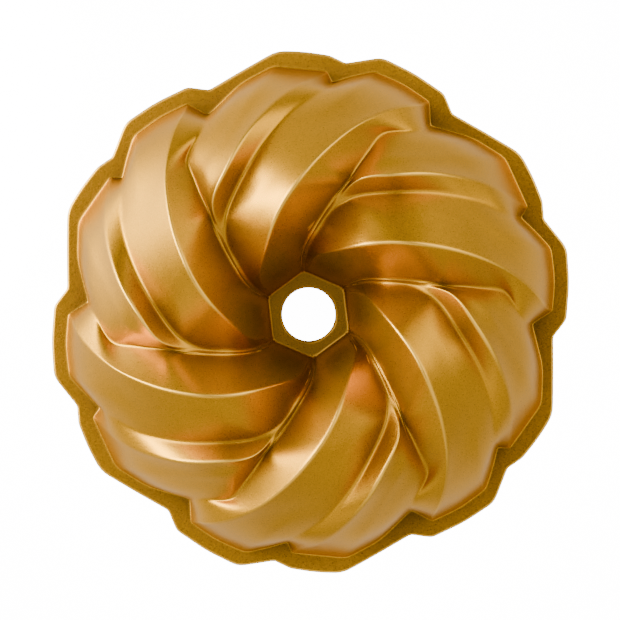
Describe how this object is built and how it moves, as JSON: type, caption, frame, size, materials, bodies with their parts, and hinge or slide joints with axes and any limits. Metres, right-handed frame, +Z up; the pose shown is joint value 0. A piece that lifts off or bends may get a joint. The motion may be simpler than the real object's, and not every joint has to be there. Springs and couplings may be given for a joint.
{
  "type": "bundt pan",
  "caption": "Cast tube pan with a braided swirl of raised bands, a scalloped flat rim and a hexagonal tube end with a round hole, for baking ring cakes.",
  "frame": {"origin": "centre of the resting plane of the rim, with the pan lying rim down as in the picture", "axes": "+Z up from the rim towards the dome crown, which is the pan's underside in use; +X to the right and +Y to the top of the picture"},
  "size_m": [0.26, 0.2626, 0.0902],
  "materials": {
    "cast_metal": "satin, as cast",
    "gold_coat": "satin metallic gold with a fine sparkle",
    "nonstick": "smooth satin nonstick"
  },
  "bodies": {
    "root": {"pan_casting": "cast_metal", "gold_exterior_coat": "gold_coat", "nonstick_interior_lining": "nonstick"}
  },
  "joints": []
}
